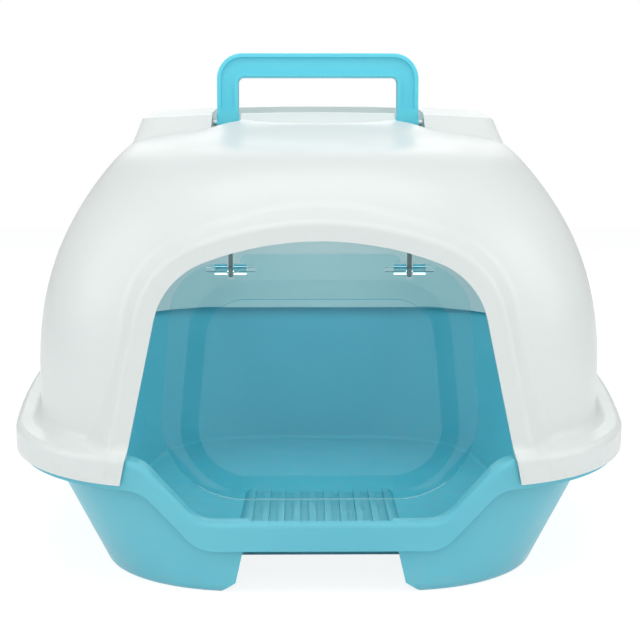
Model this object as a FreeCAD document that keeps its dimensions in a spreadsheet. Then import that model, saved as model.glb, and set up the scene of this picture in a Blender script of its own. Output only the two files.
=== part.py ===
import FreeCAD, Part
import math
import os
import Sketcher

# Hooded litter box: a tray, a lift-off hood with a swinging door, a folding carry handle, an odour
# filter in the roof and a catch on each side. X points right, Y to the rear and Z up, and the origin
# is on the floor under the middle of the box. Hood and tray meet on a rim plane that rises to the
# rear; pieces drawn on that plane are "tilted".

Vector = FreeCAD.Vector

SIZES = (
    ("rim_height", 111, "rim plane above the floor at mid length"),
    ("rim_slope", 5.2, "rise of the rim plane to the rear, degrees"),
    ("skirt_half_width", 219, "hood skirt, outside"),
    ("skirt_half_length", 254.5, "hood skirt, outside"),
    ("skirt_corner", 112, "hood skirt, corner radius"),
    ("skirt_side", 1200, "hood skirt, radius of the bowed sides"),
    ("skirt_drop", 15, "hood skirt below the rim plane"),
    ("skirt_edge", 4.5, "round on the top edge of the skirt"),
    ("hood_wall", 3, "wall of the hood"),
    ("skirt_clearance", 1, "gap between the skirt and the tray's lip"),
    ("dome_side_ratio", 7, "radius of the dome's bowed sides over its half width"),
    ("dome_foot_fillet", 7, "fillet between dome and skirt"),
    ("foot_half_width", "=skirt_half_width - 19.27", "dome at the rim"),
    ("foot_half_length", "=skirt_half_length - 20.5", "dome at the rim"),
    ("foot_corner", "=foot_half_width * 0.5", "dome at the rim"),
    ("low_height", 50, "dome section"),
    ("low_half_width", "=skirt_half_width - 19.05", "dome section"),
    ("low_half_length", "=skirt_half_length - 21", "dome section"),
    ("low_corner", "=low_half_width * 0.515", "dome section"),
    ("waist_height", 100, "dome section"),
    ("waist_half_width", "=skirt_half_width - 27.5", "dome section"),
    ("waist_half_length", "=skirt_half_length - 25.45", "dome section"),
    ("waist_corner", "=waist_half_width * 0.564", "dome section"),
    ("shoulder_height", 140, "dome section"),
    ("shoulder_half_width", "=skirt_half_width - 45.55", "dome section"),
    ("shoulder_half_length", "=skirt_half_length - 34", "dome section"),
    ("shoulder_corner", "=shoulder_half_width * 0.651", "dome section"),
    ("brow_height", 168, "dome section"),
    ("brow_half_width", "=skirt_half_width - 66.5", "dome section"),
    ("brow_half_length", "=skirt_half_length - 49.5", "dome section"),
    ("brow_corner", "=brow_half_width * 0.77", "dome section"),
    ("crest_height", 180, "dome section"),
    ("crest_half_width", "=skirt_half_width - 80.3", "dome section"),
    ("crest_half_length", "=skirt_half_length - 66.5", "dome section"),
    ("crest_corner", "=crest_half_width * 0.83", "dome section"),
    ("crown_height", 187, "dome section"),
    ("crown_half_width", "=skirt_half_width * 0.5342", "dome section"),
    ("crown_half_length", "=skirt_half_length * 0.6208", "dome section"),
    ("crown_corner", "=crown_half_width * 0.84", "dome section"),
    ("cap_height", 191.5, "dome section"),
    ("cap_half_width", "=skirt_half_width * 0.38813", "dome section"),
    ("cap_half_length", "=skirt_half_length * 0.44", "dome section"),
    ("cap_corner", "=cap_half_width * 0.8", "dome section"),
    ("peak_height", 193, "dome section at the top"),
    ("peak_half_width", "=skirt_half_width * 0.1826", "dome section at the top"),
    ("peak_half_length", "=skirt_half_length * 0.22", "dome section at the top"),
    ("peak_corner", "=peak_half_width * 0.7", "dome section at the top"),
    ("casing_front", "=skirt_half_length - 13.5", "front of the doorway casing, ahead of the middle"),
    ("casing_depth", 60, "casing, front to rear"),
    ("casing_flare", 35, "casing opens to the rear, degrees"),
    ("casing_band", 12, "width of the casing's front band"),
    ("casing_edge", 5, "round on the casing's front ridge"),
    ("casing_fillet", 12, "fillet between casing and dome"),
    ("door_top", 226, "top of the doorway above the floor"),
    ("door_foot", 60, "height where the doorway's half width is taken"),
    ("door_half_width", "=skirt_half_width * 0.589", "half width of the doorway at that height"),
    ("door_crown", "=door_half_width * 1.589", "radius of the doorway's crown"),
    ("door_corner", "=door_half_width * 0.3876", "radius of the doorway's shoulders"),
    ("door_lean", 12, "lean of the doorway's sides, degrees"),
    ("deck_top", 202, "top of the raised deck round the handle, above the rim plane"),
    ("deck_base", 150, "foot of the raised deck, inside the dome"),
    ("deck_half_width", 131, "deck at its top"),
    ("deck_crown", 2200, "radius of the deck's crowned top"),
    ("deck_draft", 16, "draft of the deck's side walls, degrees"),
    ("deck_slope", 58, "lean of the deck's front and rear walls, degrees"),
    ("deck_front", 24, "front of the deck at its top, ahead of the dome's axis"),
    ("deck_back", 57, "rear of the deck at its top, behind the dome's axis"),
    ("deck_corner", 12, "corner radius of the deck"),
    ("deck_edge", 3, "round on the deck's top edge"),
    ("pocket_front", 20, "handle pocket, ahead of the dome's axis"),
    ("pocket_back", 51, "handle pocket, behind the dome's axis"),
    ("pocket_corner", 9, "handle pocket, corner radius"),
    ("pocket_depth", 19.5, "handle pocket below the deck"),
    ("notch_inner", 57.5, "leg notch in the pocket's front lip, from the middle"),
    ("notch_width", 22, "leg notch"),
    ("notch_depth", 10.5, "leg notch below the deck"),
    ("notch_corner", 2.5, "leg notch, corner radius"),
    ("handle_pivot_y", -9, "handle pivot from the dome's axis, along the rim plane"),
    ("handle_pivot_z", 193, "handle pivot above the rim plane"),
    ("handle_half_width", 76.4, "carry handle, outside"),
    ("pocket_half_width", "=handle_half_width + 4.4", "handle pocket"),
    ("handle_height", 52.3, "carry handle above its pivot"),
    ("handle_bar", 18.2, "height of the grip bar"),
    ("handle_leg", 16.2, "width of a leg"),
    ("handle_thick", 15, "front to rear"),
    ("handle_corner", 19.3, "outer corner radius"),
    ("handle_inner_corner", 4, "inner corner radius"),
    ("handle_rim", 3, "rim left round the face hollow"),
    ("handle_hollow", 2.6, "depth of the face hollow"),
    ("handle_edge", 1.4, "round on the handle's edges"),
    ("hub_radius", 7.5, "handle hub"),
    ("hub_side", 0.4, "hub standing proud of the leg on each side"),
    ("handle_pin_radius", 3, "handle pin"),
    ("handle_pin_bite", 5, "handle pin inside the pocket's wall"),
    ("pivot_boss_radius", 6.5, "boss round the handle pin"),
    ("pivot_boss", 4, "boss behind the pocket's wall"),
    ("well_half_width", 50, "filter well in the pocket's floor"),
    ("well_front", 14, "filter well, ahead of the dome's axis"),
    ("well_back", 18.5, "filter well, behind the dome's axis"),
    ("well_depth", 8, "filter well below the pocket's floor"),
    ("well_floor", 2.5, "floor of the filter well"),
    ("well_wall", 2, "wall of the filter well"),
    ("vent_width", 4, "vent slots"),
    ("vent_pitch", 10, "vent slots"),
    ("vent_count", 9, "vent slots"),
    ("vent_margin", 4, "vent slots from the well's ends"),
    ("filter_gap", 0.6, "filter pad inside its well"),
    ("filter_thick", 7, "filter pad"),
    ("cover_lap", 4.5, "filter cover beyond the well"),
    ("cover_thick", 2.4, "filter cover"),
    ("cover_corner", 4, "filter cover, corner radius"),
    ("cover_grip_length", 26, "finger bar on the filter cover"),
    ("cover_grip_width", 4, "finger bar on the filter cover"),
    ("cover_grip_height", 7, "finger bar on the filter cover"),
    ("hinge_front", "=casing_front - 41", "flap hinge ahead of the middle"),
    ("hinge_height", 205, "flap hinge above the floor"),
    ("flap_thick", 2.2, "flap plate"),
    ("flap_tab_top", 10, "flap's middle tab above the hinge"),
    ("flap_tab_corner", 5, "corner radius of the tab"),
    ("flap_shoulder_top", 4, "flap's shoulders above the hinge"),
    ("flap_half_width", "=door_half_width - 33.8", "half width of the flap at the hinge"),
    ("flap_tab_half_width", "=flap_half_width * 0.5462", "flap's middle tab"),
    ("flap_shoulder_radius", 34, "round between shoulder and side"),
    ("flap_lean", 5.5, "lean of the flap's sides, degrees"),
    ("flap_bottom", 152.5, "flap below the hinge"),
    ("flap_bottom_corner", 54, "bottom corner radius"),
    ("flap_slot_bottom", 6.5, "hanger slot below the hinge"),
    ("flap_slot_gap", 1, "gap each side of a hanger"),
    ("panel_top", 7, "pressed panel, below the hinge"),
    ("panel_half_width", "=flap_half_width - 13.2", "half width of the pressed panel at the hinge"),
    ("panel_margin_bottom", 5, "pressed panel above the flap's bottom"),
    ("panel_corner_top", 38, "pressed panel"),
    ("panel_corner_bottom", 45, "pressed panel"),
    ("panel_bevel", 12, "width of the panel's sloping border"),
    ("panel_rise", 5, "panel ahead of the flap plate"),
    ("knuckle_radius", 3.8, "flap knuckles"),
    ("knuckle_length", 8, "flap knuckles"),
    ("flap_pin_radius", 1.6, "flap pins"),
    ("hanger_place", "=flap_tab_half_width + 6", "hanger from the middle"),
    ("hanger_thick", 2.4, "hanger plate"),
    ("hanger_eye", 5, "radius of the hanger's eye"),
    ("hanger_stem", 8, "width of the hanger's stem"),
    ("hanger_rise", 34, "top of the hanger's foot above the hinge"),
    ("hanger_foot", 15, "length of the hanger's foot"),
    ("hanger_foot_width", 14, "width of the hanger's foot"),
    ("hanger_foot_thick", 3, "hanger's foot"),
    ("boss_height", 45, "room for the hanger boss up to the roof"),
    ("screw_radius", 1.5, "hanger screw"),
    ("screw_length", 12, "hanger screw"),
    ("screw_head_radius", 3, "hanger screw"),
    ("screw_head", 2, "hanger screw"),
    ("running_gap", 0.06, "radial gap of a turning fit"),
    ("seat_gap", 0.02, "radial gap of a pushed-in fit"),
    ("tray_wall", 3, "wall of the tray"),
    ("lip_height", 19, "down-turned lip of the tray"),
    ("rim_thick", 3, "rim of the tray"),
    ("rim_edge", 4, "round on the tray's rim"),
    ("rim_half_width", "=skirt_half_width - 14.5", "tray wall at the rim plane"),
    ("rim_half_length", "=skirt_half_length - 11.5", "tray wall at the rim plane"),
    ("rim_corner", "=skirt_corner - 6", "tray wall at the rim plane"),
    ("tray_half_width", "=rim_half_width - 48", "tray at the floor"),
    ("tray_half_length", "=rim_half_length - 6", "tray at the floor"),
    ("tray_corner", "=rim_corner - 6", "tray at the floor"),
    ("tray_edge", 6, "round under the tray"),
    ("tray_side_ratio", 7, "radius of the tray's bowed sides over its half width"),
    ("dip_depth", 40, "entry ledge below the rim plane"),
    ("dip_half_width", "=door_half_width * 0.5233", "level part of the entry ledge"),
    ("dip_radius", 22, "bends of the rim beside the ledge"),
    ("dip_angle", 48, "slope of the rim beside the ledge, degrees"),
    ("step_top", 47.5, "entry step above the floor"),
    ("step_wall", 5, "wall of the entry step"),
    ("recess_half_width", "=dip_half_width - 11.5", "hollow under the step, at the floor"),
    ("recess_lean", 12.5, "lean of the hollow's sides, degrees"),
    ("recess_front", "=skirt_half_length - 13.5", "front of the hollow, behind the tray's lip"),
    ("step_back", "=recess_front - 95", "rear of the entry step, ahead of the middle"),
    ("recess_flare_height", 7, "the hollow widens near the floor, height"),
    ("recess_flare_lean", 56, "lean of the widened part's sides, degrees"),
    ("recess_corner", 2.5, "hollow under the step, corner radius"),
    ("groove_width", 6, "grooves of the entry step"),
    ("groove_pitch", 10.2, "grooves of the entry step"),
    ("groove_count", 9, "grooves of the entry step"),
    ("groove_depth", 3, "grooves of the entry step"),
    ("groove_front", "=recess_front - 1", "front end of the grooves, ahead of the middle"),
    ("groove_margin", 2, "level strip in front of the grooves"),
    ("latch_place", 40, "catches, behind the middle"),
    ("latch_pivot_out", 3.5, "catch pivot outside the skirt"),
    ("latch_pivot_drop", 22, "catch pivot below the rim plane"),
    ("latch_width", 36, "catch plate"),
    ("latch_thick", 3, "catch plate"),
    ("latch_skirt_gap", 0.8, "gap between the closed catch and the skirt"),
    ("latch_hook_gap", 0.4, "gap between the closed hook and the skirt's top"),
    ("latch_hook", 8, "reach of the hook"),
    ("latch_knuckle", 4.2, "radius of the catch's knuckle"),
    ("latch_side_gap", 0.5, "gap between the catch and an ear"),
    ("latch_tab", 5, "thumb tab of the catch"),
    ("latch_pin_radius", 2, "catch pin"),
    ("ear_thick", 4, "ears that carry a catch"),
    ("ear_radius", 5, "ears that carry a catch"),
)

doc = FreeCAD.newDocument("HoodedLitterBox")
sheet = doc.addObject("Spreadsheet::Sheet", "Sizes")
for row, (alias, number, note) in enumerate(SIZES, start=1):
    sheet.set("A%d" % row, note)
    sheet.set("B%d" % row, str(number))
    sheet.setAlias("B%d" % row, alias)
doc.recompute()


def formula(text):
    """Write sizes by their bare names: "<tray_wall>" stands for the sheet's cell."""
    return text.replace("<", "Sizes.").replace(">", "")


def value(text):
    return float(sheet.evalExpression(formula(text)))


def bind(thing, **formulas):
    for name, text in formulas.items():
        thing.setExpression(name.replace("__", "."), formula(text))


SLOPE_COS = "cos(<rim_slope>)"
SLOPE_SIN = "sin(<rim_slope>)"


def place(thing, x="0", y="0", z="0"):
    """Upright place in the box's own frame."""
    bind(thing, Placement__Base__x=x, Placement__Base__y=y, Placement__Base__z=z)


def place_on_rim(thing, x="0", y="0", z="0"):
    """Upright place given on the rim plane: y runs along it and z stands square to it."""
    place(
        thing, x,
        "(%s) * %s - (%s) * %s" % (y, SLOPE_COS, z, SLOPE_SIN),
        "<rim_height> + (%s) * %s + (%s) * %s" % (y, SLOPE_SIN, z, SLOPE_COS),
    )


def place_tilted(thing, x="0", y="0", z="0"):
    """Place given on the rim plane and turned with it."""
    thing.Placement = FreeCAD.Placement(Vector(), FreeCAD.Rotation(Vector(1, 0, 0), 1))
    bind(thing, Placement__Rotation__Angle="<rim_slope>")
    place_on_rim(thing, x, y, z)


def at_handle(thing, x="0"):
    place_on_rim(thing, x, "<handle_pivot_y>", "<handle_pivot_z>")


def at_flap(thing, x="0"):
    place(thing, x, "-<hinge_front>", "<hinge_height>")


def at_latch(thing):
    place_tilted(thing, "<skirt_half_width> + <latch_pivot_out>", "<latch_place>", "-<latch_pivot_drop>")


def new_body(name, tilted=False):
    body = doc.addObject("PartDesign::Body", name)
    if tilted:
        place_tilted(body)
    return body


def new_sketch(body, name, role, lift="0", up="0"):
    """Sketch on an origin plane, moved along its normal (lift) and along its own y (up)."""
    sketch = body.newObject("Sketcher::SketchObject", name)
    plane = [item for item in body.Origin.OriginFeatures if item.Role == role][0]
    sketch.AttachmentSupport = [(plane, "")]
    sketch.MapMode = "FlatFace"
    bind(sketch, AttachmentOffset__Base__z=lift, AttachmentOffset__Base__y=up)
    return sketch


def dimension(sketch, name, constraint, text):
    index = sketch.addConstraint(constraint)
    sketch.renameConstraint(index, name)
    sketch.setExpression("Constraints." + name, formula(text))


def line(x0, y0, x1, y1):
    return Part.LineSegment(Vector(x0, y0), Vector(x1, y1))


def arc(x, y, radius, start, end):
    """Counter-clockwise arc, angles in degrees."""
    circle = Part.Circle(Vector(x, y), Vector(0, 0, 1), radius)
    return Part.ArcOfCircle(circle, math.radians(start), math.radians(end))


def draw_panel(sketch, half_width, top, bottom, lean, corner_top, corner_bottom):
    """Upright panel, narrower at the top, with round corners; half_width is taken at the origin."""
    half, y1, y0, tilt = value(half_width), value(top), value(bottom), value(lean)
    high, low = value(corner_top), value(corner_bottom)
    cos, sin = math.cos(math.radians(tilt)), math.sin(math.radians(tilt))
    low_x = half - (low + (y0 + low) * sin) / cos
    high_x = half - (high + (y1 - high) * sin) / cos
    chain(sketch, (
        line(-low_x, y0, low_x, y0),
        arc(low_x, y0 + low, low, -90, tilt),
        line(low_x + low * cos, y0 + low + low * sin, high_x + high * cos, y1 - high + high * sin),
        arc(high_x, y1 - high, high, tilt, 90),
        line(high_x, y1, -high_x, y1),
        arc(-high_x, y1 - high, high, 90, 180 - tilt),
        line(-high_x - high * cos, y1 - high + high * sin, -low_x - low * cos, y0 + low + low * sin),
        arc(-low_x, y0 + low, low, 180 - tilt, 270),
    ))
    sketch.addConstraint(Sketcher.Constraint("Symmetric", 0, 1, 0, 2, -2))
    sketch.addConstraint(Sketcher.Constraint("Symmetric", 4, 1, 4, 2, -2))
    sketch.addConstraint(Sketcher.Constraint("Equal", 1, 7))
    sketch.addConstraint(Sketcher.Constraint("Equal", 3, 5))
    dimension(sketch, "cornerLow", Sketcher.Constraint("Radius", 1, low), corner_bottom)
    dimension(sketch, "cornerHigh", Sketcher.Constraint("Radius", 3, high), corner_top)
    dimension(sketch, "top", Sketcher.Constraint("DistanceY", -1, 1, 4, 1, y1), top)
    dimension(sketch, "bottom", Sketcher.Constraint("DistanceY", -1, 1, 0, 1, y0), bottom)
    dimension(sketch, "lean", Sketcher.Constraint("Angle", 2, math.radians(90 + tilt)), "90 + (%s)" % lean)
    dimension(
        sketch, "half", Sketcher.Constraint("Distance", -1, 1, 2, half * cos),
        "(%s) * cos(%s)" % (half_width, lean),
    )


def draw_dip(sketch):
    """Everything under the tray's rim, which dips to the entry ledge in the middle."""
    depth, flat, r = value("<dip_depth>"), value("<dip_half_width>"), value("<dip_radius>")
    tilt = value("<dip_angle>")
    cos, sin = math.cos(math.radians(tilt)), math.sin(math.radians(tilt))
    run = (depth - 2 * r * (1 - cos)) / sin
    mid_x, mid_y = flat + r * sin, r * (1 - cos) - depth
    end_x = mid_x + run * cos + r * sin
    wide, deep = value("<skirt_half_width> * 1.2"), value("<rim_height> * 2")
    chain(sketch, (
        line(-wide, -deep, wide, -deep),
        line(wide, -deep, wide, 0),
        line(wide, 0, end_x, 0),
        arc(end_x, -r, r, 90, 90 + tilt),
        turned(line(mid_x, mid_y, mid_x + run * cos, mid_y + run * sin)),
        turned(arc(flat, r - depth, r, -90, tilt - 90)),
        line(flat, -depth, -flat, -depth),
        turned(arc(-flat, r - depth, r, -90 - tilt, -90)),
        line(-mid_x, mid_y, -mid_x - run * cos, mid_y + run * sin),
        arc(-end_x, -r, r, 90 - tilt, 90),
        line(-end_x, 0, -wide, 0),
        line(-wide, 0, -wide, -deep),
    ), corners=(0, 1, 10, 11))
    sketch.addConstraint(Sketcher.Constraint("Symmetric", 0, 1, 0, 2, -2))
    sketch.addConstraint(Sketcher.Constraint("Symmetric", 6, 1, 6, 2, -2))
    sketch.addConstraint(Sketcher.Constraint("Vertical", 1))
    sketch.addConstraint(Sketcher.Constraint("Vertical", 11))
    sketch.addConstraint(Sketcher.Constraint("PointOnObject", 2, 1, -1))
    sketch.addConstraint(Sketcher.Constraint("Horizontal", 2))
    sketch.addConstraint(Sketcher.Constraint("PointOnObject", 10, 2, -1))
    sketch.addConstraint(Sketcher.Constraint("Horizontal", 10))
    for other in (5, 7, 9):
        sketch.addConstraint(Sketcher.Constraint("Equal", 3, other))
    dimension(sketch, "radius", Sketcher.Constraint("Radius", 3, r), "<dip_radius>")
    dimension(sketch, "depth", Sketcher.Constraint("DistanceY", 6, 1, -1, 1, depth), "<dip_depth>")
    dimension(sketch, "flat", Sketcher.Constraint("DistanceX", -1, 1, 6, 1, flat), "<dip_half_width>")
    dimension(sketch, "slope", Sketcher.Constraint("Angle", 4, math.radians(tilt)), "<dip_angle>")
    dimension(
        sketch, "otherSlope", Sketcher.Constraint("Angle", 8, math.radians(180 - tilt)), "180 - <dip_angle>",
    )
    dimension(sketch, "wide", Sketcher.Constraint("DistanceX", -1, 1, 0, 2, wide), "<skirt_half_width> * 1.2")
    dimension(sketch, "deep", Sketcher.Constraint("DistanceY", 0, 1, -1, 1, deep), "<rim_height> * 2")


def draw_crown(sketch):
    """Everything under the deck's crowned top."""
    radius, top = value("<deck_crown>"), value("<deck_top>")
    half, low = value("<deck_half_width> * 1.5"), value("<deck_base> - 50")
    turn = math.degrees(math.asin(half / radius))
    side = top - radius + math.sqrt(radius ** 2 - half ** 2)
    chain(sketch, (
        line(-half, low, half, low),
        line(half, low, half, side),
        arc(0, top - radius, radius, 90 - turn, 90 + turn),
        line(-half, side, -half, low),
    ), corners=(0, 1, 2, 3))
    sketch.addConstraint(Sketcher.Constraint("Symmetric", 0, 1, 0, 2, -2))
    sketch.addConstraint(Sketcher.Constraint("Vertical", 1))
    sketch.addConstraint(Sketcher.Constraint("Vertical", 3))
    sketch.addConstraint(Sketcher.Constraint("PointOnObject", 2, 3, -2))
    dimension(sketch, "crown", Sketcher.Constraint("Radius", 2, radius), "<deck_crown>")
    dimension(
        sketch, "middle", Sketcher.Constraint("DistanceY", 2, 3, -1, 1, radius - top),
        "<deck_crown> - <deck_top>",
    )
    dimension(sketch, "half", Sketcher.Constraint("DistanceX", -1, 1, 0, 2, half), "<deck_half_width> * 1.5")
    dimension(sketch, "low", Sketcher.Constraint("DistanceY", -1, 1, 0, 1, low), "<deck_base> - 50")


def turned(piece):
    """Piece that the loop runs along from its end to its start."""
    return piece, True


def chain(sketch, pieces, corners=()):
    """Add pieces in order as a closed loop, tangent at every joint but those named in corners."""
    ends = []
    for piece in pieces:
        backwards = isinstance(piece, tuple)
        sketch.addGeometry(piece[0] if backwards else piece)
        ends.append((2, 1) if backwards else (1, 2))
    for index in range(len(pieces)):
        after = (index + 1) % len(pieces)
        kind = "Coincident" if index in corners else "Tangent"
        sketch.addConstraint(Sketcher.Constraint(kind, index, ends[index][1], after, ends[after][0]))


def draw_outline(sketch, half_width, half_length, corner, side):
    """Plan outline with straight ends, bowed sides and round corners, centred on the sketch."""
    w, l, r, big = value(half_width), value(half_length), value(corner), value(side)
    cx = w - big + math.sqrt((big - r) ** 2 - (l - r) ** 2)
    turn = math.degrees(math.atan2(l - r, cx - w + big))
    chain(sketch, (
        line(-cx, -l, cx, -l),
        arc(cx, r - l, r, -90, -turn),
        arc(w - big, 0, big, -turn, turn),
        arc(cx, l - r, r, turn, 90),
        line(cx, l, -cx, l),
        arc(-cx, l - r, r, 90, 180 - turn),
        arc(big - w, 0, big, 180 - turn, 180 + turn),
        arc(-cx, r - l, r, 180 + turn, 270),
    ))
    sketch.addConstraint(Sketcher.Constraint("Symmetric", 0, 1, 0, 2, -2))
    sketch.addConstraint(Sketcher.Constraint("Symmetric", 4, 1, 4, 2, -2))
    for other in (3, 5, 7):
        sketch.addConstraint(Sketcher.Constraint("Equal", 1, other))
    sketch.addConstraint(Sketcher.Constraint("Equal", 2, 6))
    sketch.addConstraint(Sketcher.Constraint("PointOnObject", 2, 3, -1))
    dimension(sketch, "corner", Sketcher.Constraint("Radius", 1, r), corner)
    dimension(sketch, "side", Sketcher.Constraint("Radius", 2, big), side)
    dimension(sketch, "front", Sketcher.Constraint("DistanceY", 0, 1, -1, 1, l), half_length)
    dimension(sketch, "back", Sketcher.Constraint("DistanceY", -1, 1, 4, 1, l), half_length)
    dimension(
        sketch, "width", Sketcher.Constraint("DistanceX", 2, 3, -1, 1, big - w),
        "(%s) - (%s)" % (side, half_width),
    )


def draw_box(sketch, left, right, bottom, top, corner):
    """Rectangle with round corners."""
    x0, x1, y0, y1, r = value(left), value(right), value(bottom), value(top), value(corner)
    chain(sketch, (
        line(x0 + r, y0, x1 - r, y0),
        arc(x1 - r, y0 + r, r, -90, 0),
        line(x1, y0 + r, x1, y1 - r),
        arc(x1 - r, y1 - r, r, 0, 90),
        line(x1 - r, y1, x0 + r, y1),
        arc(x0 + r, y1 - r, r, 90, 180),
        line(x0, y1 - r, x0, y0 + r),
        arc(x0 + r, y0 + r, r, 180, 270),
    ))
    for flat in (0, 4):
        sketch.addConstraint(Sketcher.Constraint("Horizontal", flat))
    for upright in (2, 6):
        sketch.addConstraint(Sketcher.Constraint("Vertical", upright))
    for other in (3, 5, 7):
        sketch.addConstraint(Sketcher.Constraint("Equal", 1, other))
    dimension(sketch, "corner", Sketcher.Constraint("Radius", 1, r), corner)
    dimension(sketch, "left", Sketcher.Constraint("DistanceX", -1, 1, 6, 1, x0), left)
    dimension(sketch, "right", Sketcher.Constraint("DistanceX", -1, 1, 2, 1, x1), right)
    dimension(sketch, "bottom", Sketcher.Constraint("DistanceY", -1, 1, 0, 1, y0), bottom)
    dimension(sketch, "top", Sketcher.Constraint("DistanceY", -1, 1, 4, 1, y1), top)


def draw_circle(sketch, radius):
    sketch.addGeometry(Part.Circle(Vector(), Vector(0, 0, 1), value(radius)))
    sketch.addConstraint(Sketcher.Constraint("Coincident", 0, 3, -1, 1))
    dimension(sketch, "radius", Sketcher.Constraint("Radius", 0, value(radius)), radius)


def draw_arch(sketch, grow):
    """Doorway arch with leaning sides, widened all round by grow."""
    top, crown, corner = "<door_top> + " + grow, "<door_crown> + " + grow, "<door_corner> + " + grow
    half = "<door_half_width> + (%s) / cos(<door_lean>)" % grow
    big, r, foot_x, foot_y = value(crown), value(corner), value(half), value("<door_foot>")
    middle_y = value(top) - big
    lean = math.radians(value("<door_lean>"))
    # centre of the right shoulder: r inside the leaning side and inside the crown
    base_x = foot_x - r * math.cos(lean)
    base_y = foot_y - r * math.sin(lean) - middle_y
    half_b = base_y * math.cos(lean) - base_x * math.sin(lean)
    reach = -half_b + math.sqrt(half_b ** 2 - base_x ** 2 - base_y ** 2 + (big - r) ** 2)
    cx = base_x - reach * math.sin(lean)
    cy = base_y + reach * math.cos(lean)
    side_x = foot_x - reach * math.sin(lean)
    side_y = foot_y + reach * math.cos(lean)
    turn = math.degrees(math.atan2(cy, cx))
    tilt = math.degrees(lean)
    chain(sketch, (
        line(-foot_x, foot_y, foot_x, foot_y),
        line(foot_x, foot_y, side_x, side_y),
        arc(cx, cy + middle_y, r, tilt, turn),
        arc(0, middle_y, big, turn, 180 - turn),
        arc(-cx, cy + middle_y, r, 180 - turn, 180 - tilt),
        line(-side_x, side_y, -foot_x, foot_y),
    ), corners=(0, 5))
    sketch.addConstraint(Sketcher.Constraint("Symmetric", 0, 1, 0, 2, -2))
    sketch.addConstraint(Sketcher.Constraint("Equal", 2, 4))
    sketch.addConstraint(Sketcher.Constraint("Equal", 1, 5))
    sketch.addConstraint(Sketcher.Constraint("PointOnObject", 3, 3, -2))
    dimension(sketch, "crown", Sketcher.Constraint("Radius", 3, big), crown)
    dimension(sketch, "corner", Sketcher.Constraint("Radius", 2, r), corner)
    dimension(sketch, "foot", Sketcher.Constraint("DistanceY", -1, 1, 0, 1, foot_y), "<door_foot>")
    dimension(sketch, "half", Sketcher.Constraint("DistanceX", -1, 1, 0, 2, foot_x), half)
    dimension(
        sketch, "middle", Sketcher.Constraint("DistanceY", -1, 1, 3, 3, middle_y),
        "(%s) - (%s)" % (top, crown),
    )
    dimension(sketch, "lean", Sketcher.Constraint("Angle", 1, math.pi / 2 + lean), "90 + <door_lean>")


def pad(body, sketch, length, reverse=False, taper=None, both=False):
    feature = body.newObject("PartDesign::Pad", sketch.Name + "Pad")
    feature.Profile = sketch
    feature.Reversed = reverse
    feature.Midplane = both
    bind(feature, Length=length)
    if taper:
        bind(feature, TaperAngle=taper)
    return feature


def pocket(body, sketch, length):
    """Cut length through the body, half of it on each side of the sketch."""
    feature = body.newObject("PartDesign::Pocket", sketch.Name + "Pocket")
    feature.Profile = sketch
    feature.Midplane = True
    bind(feature, Length=length)
    return feature


def loft(body, sketches, name, kind="AdditiveLoft"):
    feature = body.newObject("PartDesign::" + kind, name)
    feature.Profile = sketches[0]
    feature.Sections = sketches[1:]
    return feature


def repeat(body, sketch, feature, pitch, count):
    """Row of copies along the sketch's x axis."""
    row = body.newObject("PartDesign::LinearPattern", feature.Name + "Row")
    row.Originals = [feature]
    row.Direction = (sketch, ["H_Axis"])
    bind(row, Length="%s * (%s - 1)" % (pitch, count), Occurrences=count)
    body.Tip = row
    return row


def join(kind, name, first, *others):
    """Part boolean: MultiFuse, MultiCommon or a Cut of one thing from another."""
    result = doc.addObject("Part::" + kind, name)
    if kind == "Cut":
        result.Base, result.Tool = first, others[0]
    else:
        result.Shapes = [first, *others]
    return result


def finish(name, base):
    """Body that goes on from a boolean result."""
    body = doc.addObject("PartDesign::Body", name)
    body.BaseFeature = base
    doc.recompute()
    return body


def round_edges(body, name, radius, wanted):
    """Fillet every edge of the body's last shape that wanted() picks."""
    doc.recompute()
    base = body.Tip
    names = ["Edge%d" % n for n, edge in enumerate(base.Shape.Edges, start=1) if wanted(edge)]
    feature = body.newObject("PartDesign::Fillet", name)
    feature.Base = (base, names)
    bind(feature, Radius=radius)
    doc.recompute()
    return feature


def mirrored(name, source):
    """Left-hand twin of a right-hand piece."""
    twin = doc.addObject("Part::Mirroring", name)
    twin.Source = source
    twin.Normal = Vector(1, 0, 0)
    return twin


def meets(first, second):
    """Picks the edges where the skins of two shapes cross."""
    doc.recompute()
    skins = [thing.Shape.Shells[0] for thing in (first, second)]

    def wanted(edge):
        points = [Part.Vertex(point) for point in edge.discretize(5)]
        return all(point.distToShape(skin)[0] < 0.02 for point in points for skin in skins)

    return wanted


def flat_at(height):
    """Picks the edges that lie flat at a height in the body's own frame."""
    z = value(height)
    return lambda edge: all(abs(point.z - z) < 0.02 for point in edge.discretize(5))


def to_rim(point):
    """Coordinates of a point on the rim plane's own axes."""
    slope = math.radians(value("<rim_slope>"))
    up = point.z - value("<rim_height>")
    return Vector(
        point.x,
        point.y * math.cos(slope) + up * math.sin(slope),
        up * math.cos(slope) - point.y * math.sin(slope),
    )


def rim_heights(edge):
    return [to_rim(point).z for point in edge.discretize(9)]


def level(edge, height, slack=0.05):
    return all(abs(z - height) < slack for z in rim_heights(edge))


DOME_SECTIONS = ("foot", "low", "waist", "shoulder", "brow", "crest", "crown", "cap", "peak")


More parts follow.
